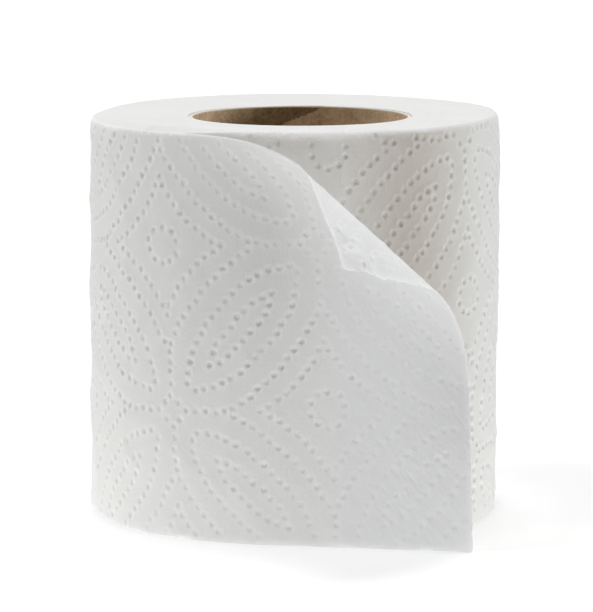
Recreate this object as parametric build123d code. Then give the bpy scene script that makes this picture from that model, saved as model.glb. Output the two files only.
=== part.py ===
from build123d import *
from math import cos, sin, tan, radians
import os

# A bathroom roll standing on end: paper wound on a board core, with its loose end
# lifted away at the front and the end's upper corner curled over towards the viewer.
# Millimetres and degrees. The axis of the core is Z, the base is z = 0, the front is -Y.

# roll
roll_diameter = 96.0
roll_height = 94.0
rim_bevel = 0.6             # soft edge round each end face

# core
bore_diameter = 51.0
core_wall = 0.8
core_length = 92.6          # it ends a little below the face of the roll
core_offset = 1.6           # the paper is wound off centre, its middle this far left of the core's
glue_gap = 0.1              # between the core and the first turn

# turns that show on both end faces
turn_step = 4.0
turn_line_width = 0.5
turn_line_depth = 0.5
inner_turn_margin = 1.4     # plain ring next to the core
outer_turn_margin = 2.2     # plain ring next to the side of the roll

# loose end
sheet_thickness = 0.5
loose_length = 48.8         # along the floor, from where it leaves the roll
lift_off_angle = 9.3        # how far left of the front the sheet leaves the roll
end_lean = 2.1              # the torn end leans back from upright
sheet_drop = 1.3            # top edge of the outer turn below the face of the roll

# curled corner
curl_radius = 17.2          # on the hollow side of the curl
curl_slope = 41.5           # the bend runs down to the right at this angle
curl_lead = 20.0            # the bend starts this far back from the lift-off, at the top edge
curl_thickness = 0.4
curl_root = 0.05            # how far the root of the curl sits inside the sheet
curl_overlap = 2.5          # flat sheet that runs on behind the root of the curl
curl_tip = 1.2              # bent length in the first and the last section of the curl
left_sections = 13
right_sections = 13

roll_radius = roll_diameter / 2
core_radius = bore_diameter / 2 + core_wall
paper_bore_radius = core_radius + glue_gap
sheet_top = roll_height - sheet_drop
slope = radians(curl_slope)
lean = radians(end_lean)


def on_sheet(along, height):
    """Plane on the sheet's outer face: x along the sheet, y up, z out of the roll.
    along is counted from the lift-off, negative on the roll and positive on the loose end."""
    turned = -radians(lift_off_angle) + min(along, 0) / roll_radius
    outward = Vector(sin(turned), -cos(turned), 0)
    forward = Vector(cos(turned), sin(turned), 0)
    place = outward * roll_radius + forward * max(along, 0) + Vector(-core_offset, 0, height)
    return Plane(origin=place, x_dir=forward, z_dir=outward)


def closing_spiral(start_radius, step, turns, start_angle):
    """Spiral of tangent quarter arcs, clockwise from above, that closes in by step each turn."""
    shrink = step / 4
    start = Vector(start_radius, 0, 0).rotate(Axis.Z, start_angle)
    tangent = Vector(0, -1, 0).rotate(Axis.Z, start_angle)
    arcs = []
    for quarter in range(round(4 * turns)):
        arcs.append(JernArc(start, tangent, start_radius - shrink * quarter, -90))
        start = arcs[-1] @ 1
        tangent = arcs[-1] % 1
    return arcs


def board_core():
    """Tube of spiral-wound board."""
    ring = Circle(core_radius) - Circle(bore_diameter / 2)
    return extrude(ring, core_length)


def wound_turns():
    """All the turns as one thick ring, with a soft edge round each end face."""
    ring = Pos(-core_offset, 0) * Circle(roll_radius) - Circle(paper_bore_radius)
    turns = extrude(ring, roll_height)
    outer_rims = turns.edges().filter_by(GeomType.CIRCLE).group_by(SortBy.RADIUS)[-1]
    return chamfer(outer_rims, rim_bevel)


def loose_end_outline():
    """Plan of the loose end: a thin strip that runs straight on from the outer turn."""
    root = on_sheet(0, 0)
    tip = on_sheet(loose_length, 0)
    inward = root.z_dir * -sheet_thickness
    corners = [root.origin, tip.origin, tip.origin + inward, root.origin + inward]
    return make_face(Polyline(corners, close=True))


def corner_cutter():
    """Everything of the loose end beyond the torn end or above the line where the curl starts."""
    spare = 3 * sheet_thickness
    beyond = 1.2 * loose_length
    high = 1.2 * roll_height

    def bend_height(along):
        return sheet_top - (along + curl_lead) * tan(slope) + curl_overlap / cos(slope)

    above = Polyline(
        (0, bend_height(0)), (beyond, bend_height(beyond)), (beyond, high), (0, high), close=True
    )
    past_end = Polyline(
        (loose_length + spare * tan(lean), -spare), (beyond, -spare), (beyond, high),
        (loose_length - high * tan(lean), high), close=True
    )
    side = on_sheet(0, 0).offset(spare)
    both = make_face(above) + make_face(past_end)
    return extrude(side * both, -2 * spare)


def curl_section(run):
    """Section of the curled corner, square to its bend: a thin arc that starts on the sheet.
    run is the distance down the bend line from its upper end."""
    along = run * cos(slope) - curl_lead
    height = sheet_top - run * sin(slope)
    to_top_edge = (sheet_top - height) / cos(slope)
    to_torn_end = (loose_length - along - height * tan(lean)) / (sin(slope) + cos(slope) * tan(lean))
    turned = min(to_top_edge, to_torn_end) / curl_radius

    sheet = on_sheet(along, height)
    across = sheet.x_dir * sin(slope) + sheet.y_dir * cos(slope)
    place = Plane(
        origin=sheet.origin - sheet.z_dir * curl_root, x_dir=across, z_dir=across.cross(sheet.z_dir)
    )

    def on_arc(radius, angle):
        return (radius * sin(angle), curl_radius - radius * cos(angle))

    outside = curl_radius + curl_thickness
    hollow = ThreePointArc(*(on_arc(curl_radius, turned * part) for part in (0, 0.5, 1)))
    back = ThreePointArc(*(on_arc(outside, turned * part) for part in (1, 0.5, 0)))
    edge = Line(hollow @ 1, back @ 0)
    foot = Line(back @ 1, hollow @ 0)
    return place * make_face(Wire([hollow, edge, back, foot]))


def curled_corner():
    """Two lofts that meet at the section through the sheet's corner."""
    top_width = curl_lead + loose_length - sheet_top * tan(lean)
    first = curl_tip / tan(slope)
    at_corner = top_width * cos(slope)
    tip_width = curl_tip * (sin(slope) + cos(slope) * tan(lean))
    last = (top_width - tip_width) / (cos(slope) - sin(slope) * tan(lean))
    left = [first + (at_corner - first) * i / (left_sections - 1) for i in range(left_sections)]
    right = [at_corner + (last - at_corner) * i / (right_sections - 1) for i in range(right_sections)]
    left_part = loft([curl_section(run) for run in left], ruled=True)
    right_part = loft([curl_section(run) for run in right], ruled=True)
    return left_part + right_part


def turn_lines():
    """The line between turns, as a pointed spiral groove in each end face."""
    start_radius = roll_radius - outer_turn_margin
    turns = (start_radius - core_offset - paper_bore_radius - inner_turn_margin) / turn_step
    spiral = Wire(closing_spiral(start_radius, turn_step, turns, -90 - lift_off_angle))
    section = Plane(origin=spiral @ 0, x_dir=Vector(0, 0, 1).cross(spiral % 0), z_dir=spiral % 0)
    wedge = Polyline(
        (0, -turn_line_depth), (turn_line_width, turn_line_depth),
        (-turn_line_width, turn_line_depth), close=True
    )
    line = Pos(-core_offset, 0) * sweep(section * make_face(wedge), path=spiral)
    return Pos(0, 0, roll_height) * line, mirror(line, about=Plane.XY)


def paper():
    """All turns with the loose end, one web of paper."""
    loose_end = extrude(loose_end_outline(), roll_height) - corner_cutter()
    web = wound_turns() + loose_end + curled_corner()
    for groove in turn_lines():
        web -= groove
    return web


os.makedirs("parts", exist_ok=True)
export_step(board_core(), "parts/cardboard_core.step")
export_step(paper(), "parts/wound_paper.step")
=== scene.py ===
from math import cos, pi, radians, sin, tan

import bpy
import numpy as np
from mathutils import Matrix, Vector, kdtree, noise
from mathutils.geometry import delaunay_2d_cdt


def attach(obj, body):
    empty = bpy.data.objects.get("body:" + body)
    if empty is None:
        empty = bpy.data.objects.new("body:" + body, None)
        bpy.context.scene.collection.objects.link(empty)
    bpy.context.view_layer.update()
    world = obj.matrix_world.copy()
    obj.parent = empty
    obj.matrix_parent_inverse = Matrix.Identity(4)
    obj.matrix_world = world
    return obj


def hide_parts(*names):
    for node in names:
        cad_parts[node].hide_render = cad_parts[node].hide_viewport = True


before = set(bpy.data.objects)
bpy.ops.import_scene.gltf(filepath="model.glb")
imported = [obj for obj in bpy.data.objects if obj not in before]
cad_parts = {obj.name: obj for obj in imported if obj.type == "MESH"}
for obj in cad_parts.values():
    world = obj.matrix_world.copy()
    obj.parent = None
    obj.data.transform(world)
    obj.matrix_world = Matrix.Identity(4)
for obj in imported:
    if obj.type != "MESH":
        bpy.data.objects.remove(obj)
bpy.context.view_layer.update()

mm = 0.001

# Camera
# It stands in front of the roll, a little above its upper end, and looks slightly down
# through a long lens, so that the upper end face shows as a narrow ellipse.
picture_height = 612
focal_pixels = 3585
look_down = 8.61
sensor = 36
camera_place = (-0.88 * mm, -842 * mm, 174.9 * mm)
lens = bpy.data.cameras.new("camera")
lens.sensor_width = sensor
lens.lens = sensor * focal_pixels / picture_height
camera = bpy.data.objects.new("camera", lens)
camera.location = camera_place
camera.rotation_euler = (radians(90 - look_down), 0, 0)
bpy.context.collection.objects.link(camera)
bpy.context.scene.camera = camera

# Tissue web
# One continuous web of embossed two-ply tissue. Its last turn covers the side of the roll,
# then it lifts away at the front, stands on its lower edge and ends in a torn perforation.
# The upper corner of that end curls over towards the viewer and shows the web's inner face.
roll_radius = 48 * mm
roll_height = 94 * mm
roll_middle = -1.6 * mm         # the paper is wound off centre, this far from the core's axis along X
side_lean = 0.0048              # the turns have slipped a little to the right towards the upper end
once_round = 2 * pi * roll_radius
web_width = 92.7 * mm
web_thickness = 0.25 * mm
loose_length = 48.8 * mm
hidden_length = 30 * mm         # tucked under the turn that lies over it
tuck_depth = 0.45 * mm
tuck_run = 15 * mm
turn_thickness = 0.3 * mm       # the web lies this much closer to the axis one turn further back
back_climb = 1.05 * mm          # of the upper edge, behind the roll
climb_start = 110 * mm
climb_run = 100 * mm
tucked_fall = 1.15 * mm         # of the upper edge, where the web is tucked in
rim_softness = 0.6 * mm
shoulder_drop = 4.5 * mm        # past the left side the turns lean in a little towards the upper end
shoulder_depth = 0.5 * mm
shoulder_start = 100 * mm
shoulder_run = 80 * mm
lift_off = radians(-9.3)
lift_rise = 0.3 * mm            # the web stands off the turns just before it lifts away
lift_run = 20 * mm
end_lean = tan(radians(2.1))
nick_depth = 0.35 * mm          # of the perforation in the torn end
nick_pitch = 4.2 * mm
fray_depth = 0.12 * mm
fray_length = 0.9 * mm
curl_radius = 17.2 * mm
curl_slope = radians(41.5)
curl_lead = 20 * mm             # the bend starts this far back from the lift-off, at the upper edge
curl_flat = 1.6 * mm            # the curl is pressed in by this much, just past its crest
curl_flat_start = 22 * mm
curl_flat_run = 22 * mm
web_start = -once_round - hidden_length

# The embossing is rings and crosses that take turns on a slightly skewed lattice, with a
# petal of nested rows of dots in every cell, between its two crosses.
dot_pitch = 2.5 * mm
dot_radius = 0.9 * mm
dot_depth = 0.17 * mm
rim_height = 0.2 * mm           # of the ridge that is pushed up round a dot
rim_middle = 1.12               # in dot radii
rim_width = 0.26 * mm
dot_rings = ((0.35, 5), (0.72, 8), (rim_middle, 10))    # radius in dot radii and number of points
outer_ring = ((1.65, 8),)
back_rings = ((0.6, 6), (1.15, 8))
puff_height = 0.36 * mm         # of the soft paper between the dots
puff_reach = 2.1 * mm
crease_height = 0.1 * mm        # of the small creases that run off the dots
crease_length = 1.7 * mm
crease_reach = 1.6 * mm
wave_height = 0.14 * mm         # of slow waves all over the web
wave_length = 15 * mm
sway_height = 0.4 * mm          # of the slower waves of the loose end
sway_length = 24 * mm
fold_height = 0.4 * mm          # of the soft ridges between the dots
fold_length = 19 * mm
crinkle_height = 0.22 * mm      # of the fine creases that run down across the loose end
crinkle_slope = radians(52)
crinkle_size = (3, 8)           # across and along the creases, in mm
slack_start = 6 * mm            # where the loose end goes slack and the creases get deep
slack_run = 22 * mm
taut_start = -12 * mm           # the bend pulls the web taut from here, counted from its line
taut_run = 8 * mm
taut_end = 29 * mm
taut_fade = 6 * mm
crumple_height = 1.2 * mm       # where the corner has been pinched, near its tip
crumple_start = 28 * mm
crumple_run = 8 * mm
crumple_length = 6 * mm
upper_fade = 2.4 * mm           # band below the upper edge in which the relief comes up
upper_fade_behind = 1.5 * mm
behind_start = -150 * mm
lower_fade = 2.2 * mm           # and the band at the lower edge, which starts below it
lower_start = -0.6 * mm
edge_turn = 0.18 * mm           # how far the cut upper edge turns in
edge_band = 0.35 * mm
ring_dots = 10
ring_radius = 4.1 * mm
centre_dot = 1.9 * mm           # of the four dots in the middle of a cross
arm_start = 3.8 * mm
arm_dots = 5
row_step = np.array((37.05, 2.15)) * mm
column_step = np.array((-2.8, 37.6)) * mm
lattice_start = np.array((-24.2, 67.0)) * mm
half_cell = 26.6 * mm
petal_outlines = (              # reach, distance across at the middle, drop towards the reach, power
    (11.2 * mm, 2.2 * mm, 2.2 * mm, 4.0),
    (18.6 * mm, 6.7 * mm, 5.45 * mm, 2.78),
    (17.2 * mm, 12.3 * mm, 2.5 * mm, 2.0),
    (11.3 * mm, 17.3 * mm, 1.6 * mm, 2.0),
)


def ease(x):
    """Smooth step from 0 to 1."""
    x = np.clip(x, 0, 1)
    return x * x * (3 - 2 * x)


def evenly(places):
    """Points a dot's pitch apart along a fine polyline."""
    run = np.concatenate(([0], np.cumsum(np.hypot(*np.diff(places, axis=0).T))))
    stops = np.linspace(0, run[-1], round(run[-1] / dot_pitch) + 1)
    return np.column_stack([np.interp(stops, run, places[:, axis]) for axis in (0, 1)])


def petal_dots():
    """Dots of one cell, as (distance along the line between its crosses, distance across it)."""
    dots = []
    for reach, middle, drop, power in petal_outlines:
        along = np.linspace(-reach, reach, 200)
        across = middle - drop * np.abs(along / reach) ** power
        for side in (1, -1):
            dots.append(evenly(np.column_stack((along, side * across))))
    return np.vstack(dots)


def cross_dots():
    """Dots of one cross, as (distance along the lattice row, distance along its column)."""
    dots = [(x * centre_dot, y * centre_dot) for x in (-1, 1) for y in (-1, 1)]
    for place in range(arm_dots):
        reach = arm_start + place * dot_pitch
        dots += [(reach, 0), (-reach, 0), (0, reach), (0, -reach)]
    return np.array(dots)


def ring_circle():
    """Dots of one ring."""
    angles = (np.arange(ring_dots) + 0.5) * 2 * pi / ring_dots
    return ring_radius * np.column_stack((np.cos(angles), np.sin(angles)))


def all_dots():
    """Flat places of all dots, as (distance along the web from the lift-off, height)."""
    row_way = row_step / np.hypot(*row_step)
    column_way = column_step / np.hypot(*column_step)
    petal, cross, ring = petal_dots(), cross_dots(), ring_circle()
    dots = []
    for column in range(-9, 4):
        for row in range(-3, 3):
            place = lattice_start + column * row_step + row * column_step
            middle = place + (row_step + column_step) / 2
            diagonals = ((row_step + column_step) / 2, (column_step - row_step) / 2)
            if (column + row) % 2:
                dots.append(place + cross[:, :1] * row_way + cross[:, 1:] * column_way)
                along, across = diagonals
            else:
                dots.append(place + ring)
                across, along = diagonals
            dots.append(middle + (petal[:, :1] * along + petal[:, 1:] * across) / half_cell)
    return np.vstack(dots)


def apart(dots, gap):
    """The dots without those that lie nearer than the gap to an earlier one."""
    kept = []
    for dot in dots:
        if not kept or np.min(np.hypot(*(np.array(kept) - dot).T)) > gap:
            kept.append(dot)
    return np.array(kept)


def top_edge(along):
    """Height of the web's upper edge. Behind the roll it climbs to the soft rim of the end face,
    and where it is tucked in it falls below the edge of the turn over it."""
    climb = back_climb * ease((-along - climb_start) / climb_run)
    return web_width + climb - tucked_fall * ease((-along - once_round) / hidden_length)


def end_line(height):
    """Distance of the torn end from the lift-off: a leaning line."""
    return loose_length - height * end_lean


def torn_edge(height):
    """The same line with frayed fibres and the nicks of the perforation."""
    fray = fray_depth * noise.noise(Vector((height / fray_length, 0, 7)))
    nick = nick_depth * max(0, cos(2 * pi * height / nick_pitch)) ** 12
    return end_line(height) + fray - nick


def border(step, torn_step):
    """The web's outline, counter-clockwise from the start of its lower edge."""
    lower = [(along, 0.0) for along in np.arange(web_start, torn_edge(0) - step / 2, step)]
    torn = [(torn_edge(height), height) for height in np.arange(0, web_width - torn_step / 2, torn_step)]
    corner = torn_edge(web_width)
    upper = [(along, float(top_edge(along))) for along in np.arange(corner, web_start + step / 2, -step)]
    start = [(web_start, height) for height in np.arange(float(top_edge(web_start)), step / 2, -step)]
    return np.array(lower + torn + upper + start)


def scattered(low, high, step, rng):
    """A jittered triangular grid of points from one distance along the web to another."""
    points = []
    for line, height in enumerate(np.arange(step / 2, web_width + mm, step * 0.866)):
        along = np.arange(low, high, step) + (line % 2) * step / 2
        points.append(np.column_stack((along, np.full(len(along), height))))
    points = np.vstack(points)
    return points + rng.uniform(-0.14, 0.14, points.shape) * step


def dot_points(dots, rings):
    """A centre and circles of points for each dot."""
    circles = [np.zeros((1, 2))]
    for radius, count in rings:
        angles = np.arange(count) * 2 * pi / count
        circles.append(radius * dot_radius * np.column_stack((np.cos(angles), np.sin(angles))))
    template = np.vstack(circles)
    return (dots[:, None, :] + template[None, :, :]).reshape(-1, 2)


def tree_of(points):
    """Search tree of flat points."""
    tree = kdtree.KDTree(len(points))
    for index, (x, y) in enumerate(points):
        tree.insert((x, y, 0), index)
    tree.balance()
    return tree


def nearest(tree, points):
    """Distance of each flat point from the nearest one in the tree, and that one's index."""
    found = [tree.find((x, y, 0)) for x, y in points]
    return np.array([distance for _, _, distance in found]), np.array([index for _, index, _ in found])


def triangles(outline, inside):
    """Triangles of the web between its outline and the points inside, counter-clockwise."""
    points = np.vstack((outline, inside))
    ring = [(i, (i + 1) % len(outline)) for i in range(len(outline))]
    flat = [Vector(point) / mm for point in points]
    made = delaunay_2d_cdt(flat, ring, [], 1, 1e-5)
    source = [merged[0] for merged in made[3]]
    faces = []
    for a, b, c in (tuple(source[i] for i in face) for face in made[2]):
        (ax, ay), (bx, by), (cx, cy) = points[a], points[b], points[c]
        turn = (bx - ax) * (cy - ay) - (by - ay) * (cx - ax)
        faces.append((a, b, c) if turn > 0 else (a, c, b))
    return points, faces


def soft_noise(points, wavelength, seed):
    """Slow unevenness between about -1 and 1 over flat points."""
    return np.array([noise.noise(Vector((x / wavelength, y / wavelength, seed))) for x, y in points])


def past_bend(points):
    """How far each flat point lies beyond the line where the curl starts, square to that line."""
    return (points[:, 0] + curl_lead) * sin(curl_slope) + (points[:, 1] - web_width) * cos(curl_slope)


def relief(points, gap, press):
    """How far the outer face stands out at flat points. gap is their distance from the nearest
    dot and press is how hard that dot was pressed."""
    dent = dot_depth * press * (1 - ease(gap / dot_radius))
    rim = rim_height * press * np.exp(-((gap - rim_middle * dot_radius) / rim_width) ** 2)
    puff = puff_height * (1 - np.exp(-(gap / puff_reach) ** 2))

    # The relief fades where the web is tucked in, where the bend pulls it taut and at its
    # upper and lower edges.
    in_sight = ease((points[:, 0] + once_round) / (4 * mm))
    bend = past_bend(points)
    taut = ease((bend - taut_start) / taut_run) * (1 - ease((bend - taut_end) / taut_fade))
    smoothed = 1 - 0.6 * taut
    from_top = top_edge(points[:, 0]) - points[:, 1]
    fade = np.where(points[:, 0] > behind_start, upper_fade, upper_fade_behind)
    flush = ease(from_top / fade) * ease((points[:, 1] - lower_start) / lower_fade)

    # Waves, folds and creases of the paper, from slow to fine.
    loose = ease(points[:, 0] / (30 * mm))
    waves = wave_height * soft_noise(points, wave_length, 3) * (1 - 0.7 * taut)
    waves += sway_height * loose * soft_noise(points, sway_length, 5) * (1 - 0.8 * taut)
    folds = 1 - 3 * np.abs(soft_noise(points, fold_length, 17))
    waves += fold_height * np.maximum(folds, 0) ** 2 * (1 - 0.8 * taut) * (1 - 0.5 * loose)
    waves += crease_height * soft_noise(points, crease_length, 13) * np.exp(-(gap / crease_reach) ** 2)
    across = points @ np.array((sin(crinkle_slope), cos(crinkle_slope))) / crinkle_size[0]
    along = points @ np.array((cos(crinkle_slope), -sin(crinkle_slope))) / crinkle_size[1]
    crinkles = soft_noise(np.column_stack((across, along)), mm, 9)
    slack = ease((points[:, 0] - slack_start) / slack_run) * smoothed
    waves += crinkle_height * (0.3 + 0.7 * slack) * crinkles * smoothed
    crumple = soft_noise(points, crumple_length, 23)
    crumple += 0.6 * np.abs(soft_noise(points, crumple_length / 2, 29))
    waves += crumple_height * ease((bend - crumple_start) / crumple_run) * crumple

    turned_in = edge_turn * np.clip(1 - from_top / edge_band, 0, 1)
    return ((puff + rim - dent) * in_sight * smoothed + waves) * flush - turned_in


def roll_surface(along, height):
    """Distance of the web from the roll's axis where it lies on the roll."""
    closer = turn_thickness * np.clip(-along / once_round, 0, 1)
    closer = closer + tuck_depth * ease((-along - once_round) / tuck_run)
    behind = ease((-along - shoulder_start) / shoulder_run)
    upper = np.clip((height - roll_height + shoulder_drop) / shoulder_drop, 0, 1)
    over_rim = np.clip(height - (roll_height - rim_softness), 0, 0.95 * rim_softness)
    rounding = rim_softness - np.sqrt(rim_softness ** 2 - over_rim ** 2)
    return roll_radius - closer - behind * shoulder_depth * upper ** 2 - rounding


def placed(points, proud):
    """Places in the room of flat points of the web that stand out of its outer face by proud."""
    run = np.maximum(past_bend(points), 0)
    turned = run / curl_radius
    along = points[:, 0] - run * sin(curl_slope)
    height = points[:, 1] - run * cos(curl_slope)
    angle = lift_off + np.minimum(along, 0) / roll_radius
    outward = np.column_stack((np.sin(angle), -np.cos(angle), np.zeros(len(angle))))
    forward = np.column_stack((np.cos(angle), np.sin(angle), np.zeros(len(angle))))
    bent_way = forward * sin(curl_slope) + np.array((0, 0, cos(curl_slope)))

    radius = roll_surface(along, height) + lift_rise * ease((along + lift_run) / lift_run)
    base = outward * radius[:, None] + forward * np.maximum(along, 0)[:, None]
    base[:, 0] += roll_middle + side_lean * height
    base[:, 2] = height
    flatter = curl_flat * np.sin(pi * np.clip((run - curl_flat_start) / curl_flat_run, 0, 1)) ** 2
    bent = bent_way * (curl_radius * np.sin(turned) - flatter)[:, None]
    bent += outward * (curl_radius * (1 - np.cos(turned)))[:, None]
    normal = outward * np.cos(turned)[:, None] - bent_way * np.sin(turned)[:, None]
    return base + bent + normal * proud[:, None]


def add_piece(name, places, faces):
    """A new mesh object from places and faces, at the origin."""
    mesh = bpy.data.meshes.new(name)
    mesh.from_pydata([tuple(place) for place in places], [], faces)
    mesh.validate()
    piece = bpy.data.objects.new(name, mesh)
    bpy.context.collection.objects.link(piece)
    return piece


def only(piece):
    """Selects one piece alone and makes it the active one."""
    bpy.ops.object.select_all(action="DESELECT")
    piece.select_set(True)
    bpy.context.view_layer.objects.active = piece


# The dots that lie on the web, each a little out of its place. They are pressed unevenly, less
# on the loose end and low down at the front, and harder where the corner has been pinched.
rng = np.random.default_rng(11)
edge_step = 1.3 * mm
torn_step = 0.55 * mm
edge_gap = 0.9 * mm             # from a dot to the web's edges
torn_gap = 1.2 * mm
nearest_dots = 1.6 * mm
outline = border(edge_step, torn_step)
dots = all_dots()
on_web = (dots[:, 1] > edge_gap) & (dots[:, 1] < top_edge(dots[:, 0]) - edge_gap)
on_web &= (dots[:, 0] > web_start + edge_gap) & (dots[:, 0] < end_line(dots[:, 1]) - torn_gap)
dots = apart(dots[on_web], nearest_dots)
dots += rng.normal(0, 0.14, dots.shape) * mm
dot_press = rng.uniform(0.6, 1.2, len(dots)) * (1 + 0.25 * soft_noise(dots, 17 * mm, 21))
on_loose = ease((dots[:, 0] - 4 * mm) / (26 * mm))
low_at_front = ease((40 * mm - dots[:, 1]) / (25 * mm)) * (dots[:, 0] > -120 * mm)
pinched = ease((past_bend(dots) - crumple_start) / (6 * mm))
dot_press *= 1 - 0.5 * on_loose
dot_press *= 1 - 0.35 * low_at_front
dot_press *= 1 + 1.1 * pinched
dot_tree, outline_tree = tree_of(dots), tree_of(outline)

# Points of the mesh. The loose end gets a finer ground, and the dots behind the roll get fewer
# points, which keeps the piece under its limit of triangles.
back = (dots[:, 0] < -80 * mm) & (dots[:, 0] > -210 * mm)
ground = np.vstack((
    scattered(web_start, 0, 1.8 * mm, rng),
    scattered(1 * mm, loose_length, 1.25 * mm, rng),
))
ground = ground[nearest(dot_tree, ground)[0] > 2.1 * dot_radius]
coarse = scattered(web_start, loose_length, 6 * mm, rng)
inner_start = -32 * mm          # before this the web's inner face can't be seen
between = dot_points(dots[~back], outer_ring)
between = between[nearest(dot_tree, between)[0] > 1.6 * dot_radius]
edge_along = np.arange(web_start + edge_step / 2, loose_length, edge_step)
edge_row = np.column_stack((edge_along, top_edge(edge_along) - edge_band))
fine = np.vstack((
    dot_points(dots[~back], dot_rings), dot_points(dots[back], back_rings), between, ground, edge_row,
))


def within(points):
    """The flat points that lie on the web, clear of its outline."""
    inside = (points[:, 1] > 0) & (points[:, 1] < top_edge(points[:, 0]))
    inside &= (points[:, 0] > web_start) & (points[:, 0] < end_line(points[:, 1]))
    points = points[inside]
    return points[nearest(outline_tree, points)[0] > 0.5 * mm]


outer_flat, outer_faces = triangles(outline, within(fine))
inner_inside = np.vstack((fine[fine[:, 0] > inner_start], coarse[coarse[:, 0] < inner_start - 2 * mm]))
inner_flat, inner_faces = triangles(outline, within(inner_inside))

# The inner face follows the outer one, but where the turns hide it, it is smooth and lies
# clear of the dents. A band of faces joins the two round the outline.
outer_gap, outer_dot = nearest(dot_tree, outer_flat)
inner_gap, inner_dot = nearest(dot_tree, inner_flat)
outer_relief = relief(outer_flat, outer_gap, dot_press[outer_dot])
inner_relief = relief(inner_flat, inner_gap, dot_press[inner_dot]) - web_thickness
unseen = (inner_flat[:, 0] < inner_start) & (np.arange(len(inner_flat)) >= len(outline))
inner_relief[unseen] = -web_thickness - 1.5 * dot_depth

first = len(outer_flat)
faces = list(outer_faces)
faces += [(a + first, c + first, b + first) for a, b, c in inner_faces]
for i in range(len(outline)):
    j = (i + 1) % len(outline)
    faces.append((j, i, first + i, first + j))
places = np.vstack((placed(outer_flat, outer_relief), placed(inner_flat, inner_relief)))
tissue_web = add_piece("tissue_web", places, faces)

# What the material needs to know of the web: its flat places, and how far each one is pressed
# in, raised beside a dot, where it is painted whiter as a painted highlight, or near a cut edge,
# where it is whiter, partly fluffed fibre and partly painted highlight.
map_unit = 100 * mm
pressed_width = 0.6             # of a dot's denser middle, in dot radii
raised_width = 0.3              # of a dot's rim, painted whiter as a painted highlight, in dot radii
edge_whitening_band = 1.4 * mm           # along the cut edges, which are whiter, partly fluffed fibre and partly painted highlight
all_flat = np.vstack((outer_flat, inner_flat))
corners = np.zeros(len(tissue_web.data.loops), dtype=np.int64)
tissue_web.data.loops.foreach_get("vertex_index", corners)
uv_map = tissue_web.data.uv_layers.new(name="flat_web")
uv_map.data.foreach_set("uv", (all_flat / map_unit)[corners].ravel().astype(np.float32))
gaps = np.concatenate((outer_gap, inner_gap)) / dot_radius
press = np.concatenate((dot_press[outer_dot], dot_press[inner_dot]))
from_edge = nearest(outline_tree, all_flat)[0]
marks = {
    "pressed": press * np.exp(-(gaps / pressed_width) ** 2),
    "raised": press * np.exp(-((gaps - rim_middle) / raised_width) ** 2),
    "fluffy_and_lit": 1 - ease(from_edge / edge_whitening_band),
}
for name, amounts in marks.items():
    mark = tissue_web.data.attributes.new(name, "FLOAT", "POINT")
    mark.data.foreach_set("value", amounts.astype(np.float32))

only(tissue_web)
bpy.ops.object.shade_smooth_by_angle(angle=radians(70))


class Value:
    """A shader socket that can be added, subtracted and multiplied."""

    def __init__(self, finish, socket):
        self.finish = finish
        self.socket = socket

    def maths(self, operation, first, second):
        return self.finish.node("ShaderNodeMath", {"operation": operation}, {0: first, 1: second})

    def __add__(self, other):
        return self.maths("ADD", self, other)

    def __radd__(self, other):
        return self.maths("ADD", other, self)

    def __sub__(self, other):
        return self.maths("SUBTRACT", self, other)

    def __rsub__(self, other):
        return self.maths("SUBTRACT", other, self)

    def __mul__(self, other):
        return self.maths("MULTIPLY", self, other)

    def __rmul__(self, other):
        return self.maths("MULTIPLY", other, self)


class Finish:
    """A material by name, with one method that adds its nodes."""

    def __init__(self, name):
        self.material = bpy.data.materials.new(name)
        self.material.use_nodes = True
        self.tree = self.material.node_tree
        self.surface = self.tree.nodes["Principled BSDF"]

    def fill(self, node, sockets):
        """Gives a node's input sockets their values or links."""
        for name, value in sockets.items():
            if isinstance(value, Value):
                self.tree.links.new(value.socket, node.inputs[name])
            else:
                node.inputs[name].default_value = value

    def node(self, kind, settings=None, sockets=None, output=0):
        """Adds a node, its settings first, and returns one of its outputs."""
        node = self.tree.nodes.new(kind)
        for name, setting in (settings or {}).items():
            setattr(node, name, setting)
        self.fill(node, sockets or {})
        return Value(self, node.outputs[output])

    def mixed(self, factor, first, second):
        """A colour between two colours."""
        return self.node("ShaderNodeMix", {"data_type": "RGBA"}, {0: factor, 6: first, 7: second}, output=2)

    def cloudy(self, place, scale, detail):
        """Noise between 0 and 1 over a place."""
        return self.node("ShaderNodeTexNoise", None, {"Vector": place, "Scale": scale, "Detail": detail})

    def rising(self, value, start, end):
        """Smooth step from 0 at start to 1 at end. The end may be the lower of the two."""
        return self.node("ShaderNodeMapRange", {"interpolation_type": "SMOOTHSTEP"}, {
            "Value": value, "From Min": start, "From Max": end,
        })

    def put_on(self, piece):
        """Makes this the piece's only material."""
        piece.data.materials.clear()
        piece.data.materials.append(self.material)


# Soft white tissue: fine crepe across the web, cloudy fibres, and denser, slightly greyer
# paper where the embossing has pressed the plies together. The dots are also painted darker,
# painted shade in the dents, most behind the loose end and on the curled corner. Their rims are
# painted whiter, a painted highlight, and the cut edges are whiter, partly fluffed fibre and partly
# painted highlight. The turn before, behind the loose end, carries a painted shadow of the loose
# end, warm and dark, that turns to a painted glow of light through the tissue near the lift-off.
# The loose end itself is painted a brighter, bluer white, for light shining through it.
# Places on the flat web are in units of 100 mm here.
tissue = Finish("tissue")
flat = tissue.node("ShaderNodeUVMap", {"uv_map": "flat_web"})
along_web, up_web = (
    tissue.node("ShaderNodeSeparateXYZ", None, {0: flat}, output=axis) for axis in (0, 1)
)
on_loose_end = tissue.rising(along_web, 0.0, 0.3)
on_outer_turn = tissue.node("ShaderNodeMapRange", None, {
    "Value": along_web, "From Min": -1.5, "From Max": -1.0,
})
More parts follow.
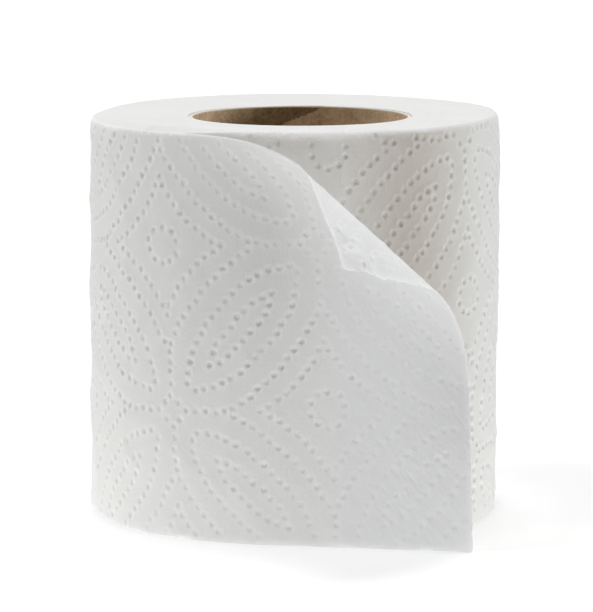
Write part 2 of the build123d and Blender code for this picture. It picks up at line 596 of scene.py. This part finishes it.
# Masks of the painted shadow that the loose end casts on the turn before, below the rim,
# and of the painted glow of light through the tissue near the lift-off.
turn_before = tissue.rising(along_web, -2.4, -2.66)
near_lift_off = tissue.rising(along_web, -2.66, -2.86)
below_rim = tissue.rising(up_web, 0.937, 0.922)
past_bend_flat = along_web * sin(curl_slope) + up_web * cos(curl_slope)
on_corner = tissue.rising(past_bend_flat, 0.82, 0.87)

crepe_flat = tissue.node("ShaderNodeMapping", None, {"Vector": flat, "Scale": (230, 40, 1)})
crepe = tissue.cloudy(crepe_flat, 1, 3)
crinkle_flat = tissue.node("ShaderNodeMapping", {"vector_type": "TEXTURE"}, {
    "Vector": flat, "Rotation": (0, 0, -crinkle_slope), "Scale": (0.035, 0.012, 1),
})
crinkle = tissue.cloudy(crinkle_flat, 1, 2)
fibres = tissue.cloudy(flat, 160, 4)
clouds = tissue.cloudy(flat, 22, 3)
# The raised rims of the dots are painted whiter, a painted highlight.
pressed_paper, painted_rim_highlight, edge_fluff_and_highlight = (
    tissue.node("ShaderNodeAttribute", {"attribute_name": name}, output=2)
    for name in ("pressed", "raised", "fluffy_and_lit")
)

# The loose end is painted a brighter, bluer white: a painted glow of light shining through it.
paper_and_painted_glow = tissue.mixed(on_loose_end, (0.848, 0.849, 0.828, 1), (0.862, 0.865, 0.87, 1))
# Painted shadow of the loose end, warm and dark, turning to a painted glow near the lift-off.
painted_shadow_and_glow = tissue.mixed(near_lift_off, (0.7, 0.663, 0.603, 1), (0.9, 0.88, 0.845, 1))
open_paper = tissue.mixed(turn_before * below_rim, paper_and_painted_glow, painted_shadow_and_glow)
# Dots are painted greyer: partly denser pressed paper, partly painted shade in the dents,
# strongest behind the loose end, where they are browner as part of its painted shadow, and on the curled
# corner.
pressed_and_shaded_colour = tissue.mixed(turn_before, (0.83, 0.83, 0.812, 1), (0.66, 0.62, 0.55, 1))
grey = (
    pressed_paper * (turn_before * 0.35 + on_corner * 0.4 + 0.06)
    + (clouds - 0.5) * 0.35 + (fibres - 0.5) * 0.4
)
# Whiter cut edges, partly fluffed fibre and partly painted highlight, and the painted highlight on the
# dots' rims.
fluff_and_highlight = (
    edge_fluff_and_highlight * (on_outer_turn + turn_before) * (clouds + fibres)
    + painted_rim_highlight * (0.5 - turn_before * 0.3)
)
tissue_colour = tissue.mixed(
    fluff_and_highlight, tissue.mixed(grey, open_paper, pressed_and_shaded_colour), (0.95, 0.95, 0.95, 1),
)
bump = tissue.node("ShaderNodeBump", None, {
    "Height": crepe * 0.8 + fibres * 1.5 + crinkle * on_loose_end * 2.8 - pressed_paper * 2.6,
    "Strength": 0.8, "Distance": 0.1 * mm,
})
tissue.fill(tissue.surface, {
    "Base Color": tissue_colour, "Roughness": 0.95, "Specular IOR Level": 0.15,
    "Subsurface Weight": 0.15, "Subsurface Radius": (1.0, 1.0, 0.95), "Subsurface Scale": 0.4 * mm,
    "Normal": bump,
})
tissue.put_on(tissue_web)

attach(tissue_web, "root")
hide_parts("wound_paper")

# Wound turns
# The hundred or so turns under the web. Their cut edges make the two flat end faces, a
# little uneven from turn to turn, and the rim is soft where the outer turns lean in.
turns_radius = 47.4 * mm
turns_bore = 26.36 * mm
turns_waist = 46.2 * mm         # under the web, clear of its embossing
waist_end = 2.4 * mm            # from the end faces, where the waist starts to widen
collar_end = 1.8 * mm           # from the end faces, where it has its full radius
dish = 1.15 * mm                # the turns lie back towards the core on the upper end
dish_tilt = 0.15 * mm           # more so behind the core
slipped_width = 2.8 * mm        # of the outer turns that have slipped down with the web
turn_band = 1.15 * mm           # a few turns that stand or lie back together
band_rise = 0.09 * mm
band_count = 60
slow_rise = 0.1 * mm            # of the slow unevenness of both faces
slow_length = 14 * mm
web_clearance = 0.04 * mm       # from the web's inner face to the turn under it
edge_clearance = 0.06 * mm      # from the web's upper edge down to that turn's edge
near = 0.01 * mm                # how near to a face or to the waist counts as on it
rim_steps = 11
radial_steps = 48
round_steps = 384


def half_profile():
    """Radius and height above the middle, from the waist over the rim to the bore."""
    middle = roll_height / 2
    points = [(turns_waist, middle - waist_end), (turns_radius, middle - collar_end)]
    slope = turns_radius - slipped_width
    face = np.concatenate((
        np.linspace(turns_radius, slope, rim_steps), np.linspace(slope, turns_bore, radial_steps)[1:],
    ))
    return points + [(radius, middle) for radius in face]


# The closed profile, spun to a ring.
upper = half_profile()
profile = [(radius, roll_height / 2 + height) for radius, height in upper]
profile += [(radius, roll_height / 2 - height) for radius, height in reversed(upper)]
wound_turns = add_piece("wound_turns", [(radius, 0, height) for radius, height in profile], [])
wound_turns.data.edges.add(len(profile))
for i, edge in enumerate(wound_turns.data.edges):
    edge.vertices = (i, (i + 1) % len(profile))
only(wound_turns)
bpy.ops.object.mode_set(mode="EDIT")
bpy.ops.mesh.select_all(action="SELECT")
bpy.ops.mesh.spin(steps=round_steps, angle=2 * pi, center=(0, 0, 0), axis=(0, 0, 1))
bpy.ops.mesh.select_all(action="SELECT")
bpy.ops.mesh.remove_doubles(threshold=0.02 * mm)
bpy.ops.mesh.normals_make_consistent(inside=False)
bpy.ops.object.mode_set(mode="OBJECT")

# The ring is fitted under the web: its rim and collar follow the web's radius and its upper
# edge. Its faces get the turns' own unevenness.
band_heights = np.random.default_rng(5).uniform(-1, 1, band_count)
for vertex in wound_turns.data.vertices:
    x, y, z = vertex.co
    radius, angle = np.hypot(x, y), np.arctan2(y, x)
    along = -roll_radius * ((lift_off - angle - pi / 2) % (2 * pi))
    if along > -hidden_length:
        along -= once_round
    inward = np.clip((turns_radius - radius) / (turns_radius - turns_bore), 0, 1)
    outer_share = np.clip((radius - turns_radius + slipped_width) / slipped_width, 0, 1)
    upper_end = z > roll_height / 2
    edge_height = top_edge(along) if upper_end else 0
    collar = roll_surface(along, min(edge_height, z)) - web_thickness - web_clearance
    on_waist = radius < turns_waist + near and abs(z - roll_height / 2) < roll_height / 2 - mm
    if not on_waist:
        spread = (collar - turns_radius) * outer_share
        vertex.co.x += spread * x / radius
        vertex.co.y += spread * y / radius
    on_face = ease((1 - outer_share) * slipped_width / mm)
    band = radius / turn_band + angle / (2 * pi)
    rise = band_rise * np.interp(band, np.arange(band_count), band_heights)
    rise += slow_rise * noise.noise(Vector((x, y, z)) / slow_length)
    if z > roll_height - near:
        slipped = (roll_height - edge_height + edge_clearance) * outer_share ** 1.3
        lower = (dish + dish_tilt * y / radius) * inward
        vertex.co.z += rise * on_face - slipped - lower
    elif z < near:
        # Only upwards, because the roll stands on this face.
        vertex.co.z += (rise + band_rise + slow_rise) * on_face * 0.5
    vertex.co.x += (roll_middle + side_lean * z) * (1 - inward)
bpy.ops.object.shade_smooth_by_angle(angle=radians(60))

# The cut edges of the turns: bright matt fibre with fine rings that follow the winding.
cut_edges = Finish("cut_edges")
on_turns = cut_edges.node("ShaderNodeTexCoord", output=3)
rings = cut_edges.node(
    "ShaderNodeTexWave", {"wave_type": "RINGS", "rings_direction": "Z"},
    {"Vector": on_turns, "Scale": 700, "Distortion": 2.5, "Detail": 2, "Detail Scale": 0.6},
)
cut_fibres = cut_edges.cloudy(on_turns, 1500, 3)
shades = cut_edges.cloudy(on_turns, 60, 2)
edge_grey = rings * 0.12 + cut_fibres * 0.25 + (shades - 0.5) * 0.4
cut_colour = cut_edges.mixed(edge_grey, (0.88, 0.88, 0.872, 1), (0.76, 0.755, 0.74, 1))
cut_bump = cut_edges.node("ShaderNodeBump", None, {
    "Height": rings * 0.6 + cut_fibres, "Strength": 0.3, "Distance": 0.1 * mm,
})
cut_edges.fill(cut_edges.surface, {
    "Base Color": cut_colour, "Roughness": 0.95, "Specular IOR Level": 0.15, "Normal": cut_bump,
})
cut_edges.put_on(wound_turns)
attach(wound_turns, "root")
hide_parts("wound_paper")

# Board core
# The tube that the paper is wound on: strips of grey-brown board glued in a spiral, so that
# a seam runs round the bore as a helix. It is cut to length with the roll.
bore_radius = 25.5 * mm
core_radius = 26.3 * mm
core_length = 92.6 * mm
seam_rise = 69 * mm             # height that the seam climbs in one turn
seam_start = 0.209              # place of the seam at the upper end, in turns from +X
seam_step = 0.16 * mm
seam_width = 0.02               # of the seam's step, in turns
end_lift = 0.35 * mm            # the upper end is cut a little askew, higher at the front
lifted_share = 1 / 12           # of the length, from the upper end down
core_rings = 93
core_steps = 192
bpy.ops.object.select_all(action="DESELECT")
bpy.ops.mesh.primitive_cylinder_add(
    vertices=core_steps, radius=bore_radius, depth=core_length, end_fill_type="NOTHING",
    location=(0, 0, core_length / 2),
)
board_core = bpy.context.object
board_core.name = "board_core"
board_core.data.name = "board_core"
bpy.ops.object.transform_apply(location=True, rotation=True, scale=True)
bpy.ops.object.mode_set(mode="EDIT")
for cut in range(1, core_rings):
    bpy.ops.mesh.select_all(action="SELECT")
    bpy.ops.mesh.bisect(plane_co=(0, 0, core_length * cut / core_rings), plane_no=(0, 0, 1))
bpy.ops.mesh.select_all(action="SELECT")
bpy.ops.mesh.flip_normals()
bpy.ops.object.mode_set(mode="OBJECT")

# The strip's free edge stands into the bore by its thickness, and from there the strip runs
# evenly back to the wall.
for vertex in board_core.data.vertices:
    x, y, z = vertex.co
    turn = (np.arctan2(y, x) / (2 * pi) + (z - core_length) / seam_rise - seam_start) % 1
    step_in = seam_step * ease(turn / seam_width) * (1 - turn)
    scale = (bore_radius + step_in - seam_step) / bore_radius
    vertex.co.x *= scale
    vertex.co.y *= scale
wall = board_core.modifiers.new("wall", "SOLIDIFY")
wall.thickness = core_radius - bore_radius
wall.offset = -1
bpy.ops.object.modifier_apply(modifier="wall")
for vertex in board_core.data.vertices:
    vertex.co.z = min(max(vertex.co.z, 0), core_length)
    near_end = ease(1 - (1 - vertex.co.z / core_length) / lifted_share)
    vertex.co.z += end_lift * max(0, -vertex.co.y / core_radius) * near_end
bpy.ops.object.shade_smooth_by_angle(angle=radians(40))

# Grey-brown board with fibres along its strips. The strip is painted dark next to the seam and a
# little darker towards its far edge, painted shade on the wall of the bore, and the cut end is pale.
board = Finish("board")
spot = board.node("ShaderNodeTexCoord", output=3)
east, north, up_core = (
    board.node("ShaderNodeSeparateXYZ", None, {0: spot}, output=axis) for axis in range(3)
)
bearing = board.node("ShaderNodeMath", {"operation": "ARCTAN2"}, {0: north, 1: east}) * (1 / (2 * pi))
blotches = board.cloudy(spot, 260, 3)
specks = board.cloudy(spot, 1400, 3)
ragged = (blotches - 0.5) * 0.04 + (specks - 0.5) * 0.03
ply = board.node("ShaderNodeMath", {"operation": "FRACT"}, {
    0: bearing + (up_core - core_length) * (1 / seam_rise) + ragged - seam_start,
})
# Masks of the painted shade beside the seam and towards the strip's far edge.
past_painted_shade = board.rising(ply, 0.05, 0.2)
to_far_edge = board.rising(ply, 0.8, 0.97)

# The strips' fibres run with the seam: places along it, and up the core square to it.
round_bore = 160 * mm
seam_slope = 0.43
along_seam = bearing * round_bore - up_core * seam_slope
across_seam = up_core + bearing * seam_rise
strands = board.node("ShaderNodeCombineXYZ", None, {0: along_seam * 220, 1: across_seam * 1300, 2: 0.0})
fibre = board.cloudy(strands, 1, 3)
tone = (fibre - 0.5) * 0.9 + (blotches - 0.5) * 1.0 + (specks - 0.5) * 1.3 + 0.5
# Painted shade: dark next to the seam, plain board past it, darker again towards the far edge.
painted_shade_board = board.mixed(tone, (0.13, 0.085, 0.04, 1), (0.27, 0.19, 0.1, 1))
clear = board.mixed(tone, (0.56, 0.415, 0.265, 1), (0.9, 0.71, 0.5, 1))
painted_shade_far_edge = board.mixed(tone, (0.36, 0.255, 0.15, 1), (0.7, 0.53, 0.34, 1))
inside_board = board.mixed(to_far_edge, board.mixed(past_painted_shade, painted_shade_board, clear), painted_shade_far_edge)
cut_end = board.node("ShaderNodeMapRange", None, {
    "Value": up_core, "From Min": core_length - 0.4 * mm, "From Max": core_length - 0.1 * mm,
})
board_colour = board.mixed(cut_end, inside_board, (0.88, 0.84, 0.73, 1))
board_bump = board.node("ShaderNodeBump", None, {
    "Height": fibre + specks * 0.6, "Strength": 0.5, "Distance": 0.12 * mm,
})
board.fill(board.surface, {
    "Base Color": board_colour, "Roughness": 0.85, "Specular IOR Level": 0.2, "Normal": board_bump,
})
board.put_on(board_core)
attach(board_core, "root")
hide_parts("cardboard_core")

# Floor and background
# A wide white floor and a white surround. To the camera the floor is mostly its own white,
# with a pale shadow of the roll and a soft grey of painted contact shade where paper meets floor.
# To the roll it is a lit table, which brightens the lower half of the paper.
floor_size = 12
lit_inside = 50 * mm            # from the middle
lit_outside = 160 * mm
table_light = 0.5
floor_albedo = 0.85             # for light that falls back on the roll
shown_albedo = 0.6              # for the shadow that the camera sees
shown_white = 0.49
contact_reach = 5 * mm
contact_grey = (0.38, 0.385, 0.395, 1)


def neutral(level):
    """A grey of one level."""
    return (level, level, level, 1)


bpy.ops.object.select_all(action="DESELECT")
bpy.ops.mesh.primitive_plane_add(size=floor_size)
floor = bpy.context.object
floor.name = "floor"
floor_white = Finish("floor_white")
seen = floor_white.node("ShaderNodeLightPath")
glossy = floor_white.node("ShaderNodeLightPath", output=3)
through = floor_white.node("ShaderNodeLightPath", output=6)
mirrored = floor_white.node("ShaderNodeMath", {"operation": "MAXIMUM"}, {0: glossy, 1: through})
looked_at = floor_white.node("ShaderNodeMath", {"operation": "MAXIMUM"}, {0: seen, 1: mirrored})
on_floor = floor_white.node("ShaderNodeTexCoord", output=3)
from_middle = floor_white.node("ShaderNodeVectorMath", {"operation": "LENGTH"}, {0: on_floor}, output=1)
lit = floor_white.rising(from_middle, lit_outside, lit_inside)
open_sky = floor_white.node(
    "ShaderNodeAmbientOcclusion", {"samples": 8}, {"Distance": contact_reach}, output=1,
)
# Painted contact shade: the floor shows greyer where the roll hides its sky.
off_contact = floor_white.rising(open_sky, 0.35, 0.95)
shown = floor_white.mixed(off_contact, contact_grey, neutral(shown_white))
table = floor_white.mixed(lit, neutral(0), neutral(table_light))
floor_white.fill(floor_white.surface, {
    "Base Color": floor_white.mixed(looked_at, neutral(floor_albedo), neutral(shown_albedo)),
    "Emission Color": floor_white.mixed(looked_at, table, shown),
    "Emission Strength": 1.0, "Roughness": 1.0, "Specular IOR Level": 0.0,
})
floor_white.put_on(floor)

world = bpy.data.worlds.new("surround")
bpy.context.scene.world = world
world.use_nodes = True
sky = world.node_tree.nodes
unlit = sky["Background"]
unlit.inputs["Strength"].default_value = 0
white = sky.new("ShaderNodeBackground")
white.inputs["Color"].default_value = neutral(1)
white.inputs["Strength"].default_value = 1
rays = sky.new("ShaderNodeLightPath")
glossy_or_through = sky.new("ShaderNodeMath")
glossy_or_through.operation = "MAXIMUM"
any_seen = sky.new("ShaderNodeMath")
any_seen.operation = "MAXIMUM"
choose = sky.new("ShaderNodeMixShader")
for start, end in (
    (rays.outputs["Is Glossy Ray"], glossy_or_through.inputs[0]),
    (rays.outputs["Is Transmission Ray"], glossy_or_through.inputs[1]),
    (rays.outputs["Is Camera Ray"], any_seen.inputs[0]),
    (glossy_or_through.outputs[0], any_seen.inputs[1]),
    (any_seen.outputs[0], choose.inputs[0]),
    (unlit.outputs[0], choose.inputs[1]),
    (white.outputs[0], choose.inputs[2]),
    (choose.outputs[0], sky["World Output"].inputs["Surface"]),
):
    world.node_tree.links.new(start, end)


# Lights
# Soft studio light: one lamp almost overhead and a little behind, one from the upper left that
# brings out the rims of the dots, and three low and broad ones that fill in the shade.
def soft_light(name, strength, spread, azimuth, elevation):
    """A broad light as far off as the sky. Azimuth 0 is in front of the roll and 90 to its right."""
    lamp = bpy.data.lights.new(name, "SUN")
    lamp.energy = strength
    lamp.angle = radians(spread)
    light = bpy.data.objects.new(name, lamp)
    light.rotation_euler = (radians(90 - elevation), 0, radians(azimuth))
    bpy.context.collection.objects.link(light)


soft_light("light_above", 1.5, 18, 168, 82)
soft_light("light_upper_left", 1.1, 22, -80, 55)
soft_light("light_front_right", 0.65, 45, 50, 18)
soft_light("light_left", 0.74, 45, -105, 15)
soft_light("light_right", 0.8, 45, 105, 15)

bpy.context.scene.view_settings.view_transform = "Standard"
